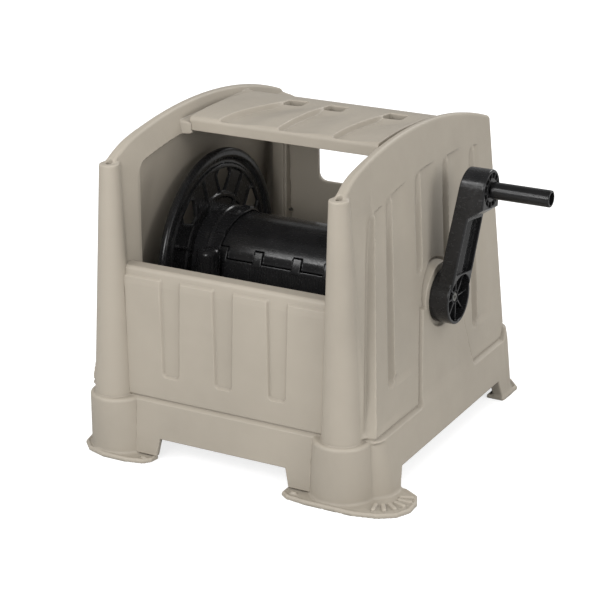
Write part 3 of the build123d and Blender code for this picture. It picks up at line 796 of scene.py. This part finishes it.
def flange_disc(out, y, z):
    """Rolled rim, web with tent-shaped windows, and ribs; out runs away from the drum."""
    r = axle_radius(y, z)
    angle = np.arctan2(z - AXLE_Z, y)
    turn = folded(angle, math.radians(81), WINDOW_PITCH)
    window = outline_distance(r * np.sin(turn), r * np.cos(turn), flange_window) - 4.0
    border = 2.4 * ramp(4.5, 2.5, window)
    ring = 3.0 * ramp(4.5, 2.5, np.abs(r - 141))
    inner_ring = 2.5 * ramp(4.5, 2.5, np.abs(r - 95))
    between = folded(angle, math.radians(81) + WINDOW_PITCH / 2, WINDOW_PITCH)
    rib = 3.0 * ramp(3.0, 1.4, np.abs(r * np.sin(between))) * ramp(48, 60, r) * ramp(140, 134, r)
    raised = np.maximum(np.maximum(border, ring), np.maximum(rib, inner_ring))
    web = np.maximum(158 - raised - out, out - 161.5)
    web = np.maximum(np.maximum(web, r - 156), 26 - r)
    web = round_common(web, -window, 1.0)
    rim = round_common(slab(r, 152, 169), slab(out, 152, 166), 6.5)
    return soft_union(web, rim, 3.0)


def right_flange_field(x, y, z):
    r = axle_radius(y, z)
    hub = round_common(r - HUB_R, slab(x, 138, 192), 1.0)
    journal = round_common(r - JOURNAL_R, slab(x, 190, 222.4), 0.6)
    body = np.minimum(soft_union(flange_disc(x, y, z), hub, 3.0), journal)
    core = np.maximum(r - 30, x - 176)
    bore = np.maximum(r - 3, x - 200)
    socket = np.maximum(hexagon(y, z, 26.3), 196 - x)
    return np.maximum(body, -np.minimum(np.minimum(core, bore), socket))


def left_flange_field(x, y, z):
    r = axle_radius(y, z)
    hub = round_common(r - HUB_R, slab(-x, 118, 192), 1.0)
    journal = round_common(r - JOURNAL_R, slab(-x, 190, 222.4), 0.6)
    body = np.minimum(soft_union(flange_disc(-x, y, z), hub, 3.0), journal)
    bore = np.maximum(r - 14, x + 128)
    passage = np.sqrt((x + 132) ** 2 + (z - AXLE_Z) ** 2)
    passage = np.minimum(np.maximum(passage - 10, y), np.maximum(passage - 14.05, y + 22))
    return np.maximum(body, -np.minimum(bore, passage))


def outlet_clearance(x, y, z):
    """Room round the out tube where it passes through the drum and collar."""
    leg = np.sqrt((x - OUTLET_X + 12) ** 2 + (z - AXLE_Z) ** 2) - 18.5
    barrel = np.sqrt((x - OUTLET_X) ** 2 + (y - OUTLET_Y) ** 2) - 20.5
    barrel = np.maximum(barrel, slab(z, 190, 282))
    return np.maximum(np.minimum(leg, barrel), y + 30)


def drum_field(upper):
    """Half the drum; the lower half's tabs fit the upper half's pockets along the seam."""
    def field(x, y, z):
        r = axle_radius(y, z)
        across = y * math.cos(SEAM_TURN) - (z - AXLE_Z) * math.sin(SEAM_TURN)
        above = y * math.sin(SEAM_TURN) + (z - AXLE_Z) * math.cos(SEAM_TURN)
        pads = None
        for middle in (-107.0, -47.0, 19.0, 72.0, 132.0):
            pad = round_common(np.abs(x - middle) - 7.2, slab(above, -6, 18), 1.0)
            pads = pad if pads is None else np.minimum(pads, pad)
        pads = pads + 0.0 * r
        grooves = 0.5 * (1 - np.cos(2 * math.pi * (x + 2.5) / 5.0)) if not upper else 0.0 * x
        groove_fade = ramp(-62, -58, x) * ramp(146, 140, x)
        skin = DRUM_R - grooves * groove_fade * ramp(-4, -9, above)
        if upper:
            skin = skin - 1.6 * ramp(16, 2, above) * ramp(0.3, 2.2, pads)
            cut = np.minimum(pads - 0.8, above - 1.0)
            half = -cut
        else:
            skin = skin + 1.4 * ramp(0.5, -0.8, pads)
            half = np.minimum(pads, above + 0.6)
        shell = round_common(r - skin, DRUM_R - DRUM_WALL - 1.0 - r, 0.8)
        shell = round_common(shell, slab(x, -154, 157), 0.8)
        shell = round_common(shell, half, 0.8)
        return round_common(shell, -outlet_clearance(x, y, z), 1.0)
    return field


def collar_field(x, y, z):
    """Ring with blocks and a ridge, over the drum's left end."""
    r = axle_radius(y, z)
    angle = np.arctan2(z - AXLE_Z, y)
    turn = folded(angle, math.radians(10), math.radians(30))
    end = segment(y, [(-80, -114), (0, -103), (80, -114)])
    block = round_common(np.abs(r * np.sin(turn)) - 6, slab(x, -126, -111), 1.0)
    ridge = 2.2 * bell(x + 133, 1.8)
    skin = 80.5 + ridge + 3.0 * ramp(0.8, -0.8, block)
    shell = round_common(r - skin, 77.4 - r, 0.8)
    shell = round_common(shell, np.maximum(-158 - x, x - end), 0.8)
    return round_common(shell, -outlet_clearance(x, y, z), 1.0)


def out_tube_field(x, y, z):
    """Elbow from the hub to the hose thread, with a fluted domed barrel."""
    dx, dy = x - OUTLET_X, y - OUTLET_Y
    r = np.sqrt(dx ** 2 + dy ** 2)
    angle = np.arctan2(dy, dx)
    flutes = 0.9 * (0.5 + 0.5 * np.cos(angle * 16)) * ramp(215, 222, z) * ramp(268, 258, z)
    barrel = round_common(r - 18 + flutes, slab(z, 215, 279), 8.0)
    barrel = np.minimum(barrel, round_common(r - 18, slab(z, 215, 224), 1.5))
    pitch = 0.7 * np.cos(2 * math.pi * z / 2.3)
    thread = round_common(r - 12.9 - 0.6 * pitch, slab(z, 194.2, 218), 1.0)
    leg_r = np.sqrt((x - OUTLET_X + 12) ** 2 + (z - AXLE_Z) ** 2)
    leg = round_common(leg_r - 14, slab(y, -94, -22), 1.0)
    ring = round_common(leg_r - 17, slab(y, -76, -70), 1.5)
    body = soft_union(np.minimum(barrel, ring), leg, 3.0)
    body = np.minimum(body, thread)
    water = np.minimum(np.maximum(r - 9, z - 262), np.maximum(leg_r - 9, slab(y, -92, 0)))
    return np.maximum(body, -water)


def reel_piece(node, field, step):
    piece = field_mesh(node + "_shell", field, *cad_box(node), step)
    return place(piece, "reel", [node], BLACK)


reel_piece("left_reel_flange", left_flange_field, 1.8)
reel_piece("right_reel_flange", right_flange_field, 2.0)
reel_piece("drum_shell_upper", drum_field(True), 1.5)
reel_piece("drum_shell_lower", drum_field(False), 1.2)
reel_piece("drum_collar", collar_field, 1.2)
reel_piece("out_tube", out_tube_field, 0.9)

# ---------------------------------------------------------------- crank
CRANK_TURN = math.radians(7.6)
CRANK_THROW = 166.0        # axle to grip
CRANK_HEAD = 167.0         # axle to the middle of the arm's rounded head
CRANK_OUT = 253.0          # outer face of the hub, then of the head
HEAD_OUT = 290.5
GRIP_Y = CRANK_THROW * math.sin(CRANK_TURN)
GRIP_Z = AXLE_Z + CRANK_THROW * math.cos(CRANK_TURN)


def crank_field(x, y, z):
    """Tapered arm with a channel, a webbed hub cup and a head that carries the grip."""
    along = y * math.sin(CRANK_TURN) + (z - AXLE_Z) * math.cos(CRANK_TURN)
    across = y * math.cos(CRANK_TURN) - (z - AXLE_Z) * math.sin(CRANK_TURN)
    outline = capsule(across, along, CRANK_HEAD, 34.0, 29.0)
    lean = SIDE_LEAN * along
    outer_face = np.minimum(CRANK_OUT + lean + np.maximum(1.3 * (along - 124), 0), HEAD_OUT)
    body = round_common(outline, (x - outer_face) * 0.9, 2.5)
    body = round_common(body, 229 + lean - x, 2.0)
    # channel along the arm, with a roof-shaped floor
    floor = CRANK_OUT + lean - 8 + 4.0 * np.clip(1 - np.abs(across) / 18, 0, 1)
    channel = round_common(outline + 4.5, slab(along, 38, 120), 4.0)
    body = round_common(body, -np.maximum(channel, floor - x), 1.0)
    # hub cup with webs and a screw boss
    r = axle_radius(y, z)
    hub = round_common(r - 40, slab(x, 222.8, CRANK_OUT), 1.5)
    body = soft_union(body, hub, 2.0)
    cup = np.maximum(r - 35.5, CRANK_OUT - 17 - x)
    body = round_common(body, -cup, 0.8)
    web_turn = folded(np.arctan2(z - AXLE_Z, y), 0.0, math.pi / 4)
    webs = np.maximum(np.abs(r * np.sin(web_turn)) - 1.3, slab(x, 234, CRANK_OUT - 5))
    webs = np.maximum(webs, r - 37)
    boss = round_common(r - 11, slab(x, 234, CRANK_OUT - 6), 0.8)
    body = np.minimum(body, np.minimum(webs, boss))
    # ribbed cup round the grip's root
    grip_y, grip_z = y - GRIP_Y, z - GRIP_Z
    q = np.sqrt(grip_y ** 2 + grip_z ** 2)
    fins = folded(np.arctan2(grip_z, grip_y), 0.0, math.pi / 6)
    ring_cup = np.maximum(slab(q, 17.5, 25.5), 277 - x)
    ring_cup = np.maximum(ring_cup, 1.1 - np.abs(q * np.sin(fins)))
    body = round_common(body, -ring_cup, 0.6)
    body = np.minimum(body, np.maximum(hexagon(y, z, 26.0), slab(x, 198, 226)))
    bores = np.minimum(r - 3.2, np.maximum(r - 8.5, CRANK_OUT - 12 - x))
    return np.maximum(body, -np.minimum(bores, np.maximum(q - 6, 262 - x)))


reel_piece("crank_arm", crank_field, 1.2)

# ---------------------------------------------------------------- small parts, as the CAD has them
EDGE_ROUND = 0.0008        # metres
finishes = {
    "zinc_steel": STEEL, "white_acetal": ACETAL, "seal_rubber": RUBBER,
    "black_resin": BLACK, "grip_plastic": GRIP_BLACK, "taupe_resin": TAUPE}
slots = {row["node"]: row["material_slot"] for row in frame["record"]["subparts"]}
for node, piece in frame["nodes"].items():
    piece.data.materials.clear()
    piece.data.materials.append(finishes[slots[node]])
    soften = piece.modifiers.new("round", "BEVEL")
    soften.width = EDGE_ROUND
    soften.segments = 2
    soften.limit_method = "ANGLE"
    soften.angle_limit = math.radians(35)
    soften.use_clamp_overlap = True
    piece.data.shade_smooth()
    weighted = piece.modifiers.new("shade", "WEIGHTED_NORMAL")
    weighted.keep_sharp = True


# ---------------------------------------------------------------- stage, light, camera

def stage():
    """A pale floor that curves up into a wall."""
    reach = 9.0
    rows = [(-5.0, 0.0), (3.0, 0.0)]
    for turn in np.linspace(0.08, math.pi / 2, 14):
        rows += [(3.0 + 2.5 * math.sin(turn), 2.5 - 2.5 * math.cos(turn))]
    rows += [(5.5, 8.0)]
    points = []
    for y, z in rows:
        points += [(-reach, y, z - 0.0003), (reach, y, z - 0.0003)]
    faces = [(2 * i, 2 * i + 1, 2 * i + 3, 2 * i + 2) for i in range(len(rows) - 1)]
    mesh = bpy.data.meshes.new("floor")
    mesh.from_pydata(points, [], faces)
    mesh.shade_smooth()
    floor = bpy.data.objects.new("floor", mesh)
    bpy.context.scene.collection.objects.link(floor)
    n = Nodes("pale_floor")
    tone = n.mix(n.noise(1.5, 2.0), (0.42, 0.42, 0.417, 1), (0.44, 0.44, 0.437, 1))
    seen = n.tree.nodes.new("ShaderNodeLightPath").outputs["Is Camera Ray"]
    n.finish(tone, 0.8, n.bump(n.noise(60.0), 0.02, 0.001), Specular_IOR_Level=0.2,
             Emission_Color=(1, 1, 1, 1), Emission_Strength=n.maths("MULTIPLY", seen, 0.75))
    mesh.materials.append(n.material)


def area_light(name, spot, aim, size, power):
    """A round lamp of this size in metres and power in watts, turned to its aim."""
    data = bpy.data.lights.new(name, "AREA")
    data.shape = "DISK"
    data.size = size
    data.energy = power
    lamp = bpy.data.objects.new(name, data)
    lamp.location = spot
    lamp.rotation_euler = (Vector(aim) - Vector(spot)).to_track_quat("-Z", "Y").to_euler()
    bpy.context.scene.collection.objects.link(lamp)


def soft_world(diffuse, glossy):
    """Even light from all round, dimmer in reflections."""
    world = bpy.data.worlds.new("soft_world")
    bpy.context.scene.world = world
    world.use_nodes = True
    tree = world.node_tree
    background = tree.nodes["Background"]
    background.inputs[0].default_value = (1, 1, 1, 1)
    path = tree.nodes.new("ShaderNodeLightPath")
    strength = tree.nodes.new("ShaderNodeMapRange")
    strength.inputs["To Min"].default_value = diffuse
    strength.inputs["To Max"].default_value = glossy
    tree.links.new(path.outputs["Is Glossy Ray"], strength.inputs["Value"])
    tree.links.new(strength.outputs[0], background.inputs[1])


stage()
area_light("key", (-1.3, -2.4, 2.2), (0, 0, 0.2), 1.0, 20)
area_light("fill", (3.0, -1.0, 1.2), (0, 0, 0.3), 1.2, 34)
area_light("opening", (0.0, -1.3, 0.8), (0.05, 0.2, 0.36), 0.5, 6)
area_light("back", (0.6, 2.4, 2.2), (0, 0, 0.3), 1.4, 30)
soft_world(1.1, 0.15)

camera_data = bpy.data.cameras.new("camera")
camera = bpy.data.objects.new("camera", camera_data)
bpy.context.scene.collection.objects.link(camera)
target = Vector((-0.0539, 0.0, 0.1966))
distance = 3.036
azimuth = math.radians(28.2)
elevation = math.radians(20.2)
level = math.cos(elevation)
back = Vector((math.sin(azimuth) * level, -math.cos(azimuth) * level, math.sin(elevation)))
camera.location = target + back * distance
camera.rotation_euler = back.to_track_quat("Z", "Y").to_euler()
camera_data.sensor_width = 36.0
camera_data.lens = 119.1
camera_data.clip_end = 60.0
bpy.context.scene.camera = camera
bpy.context.scene.view_settings.view_transform = "Standard"
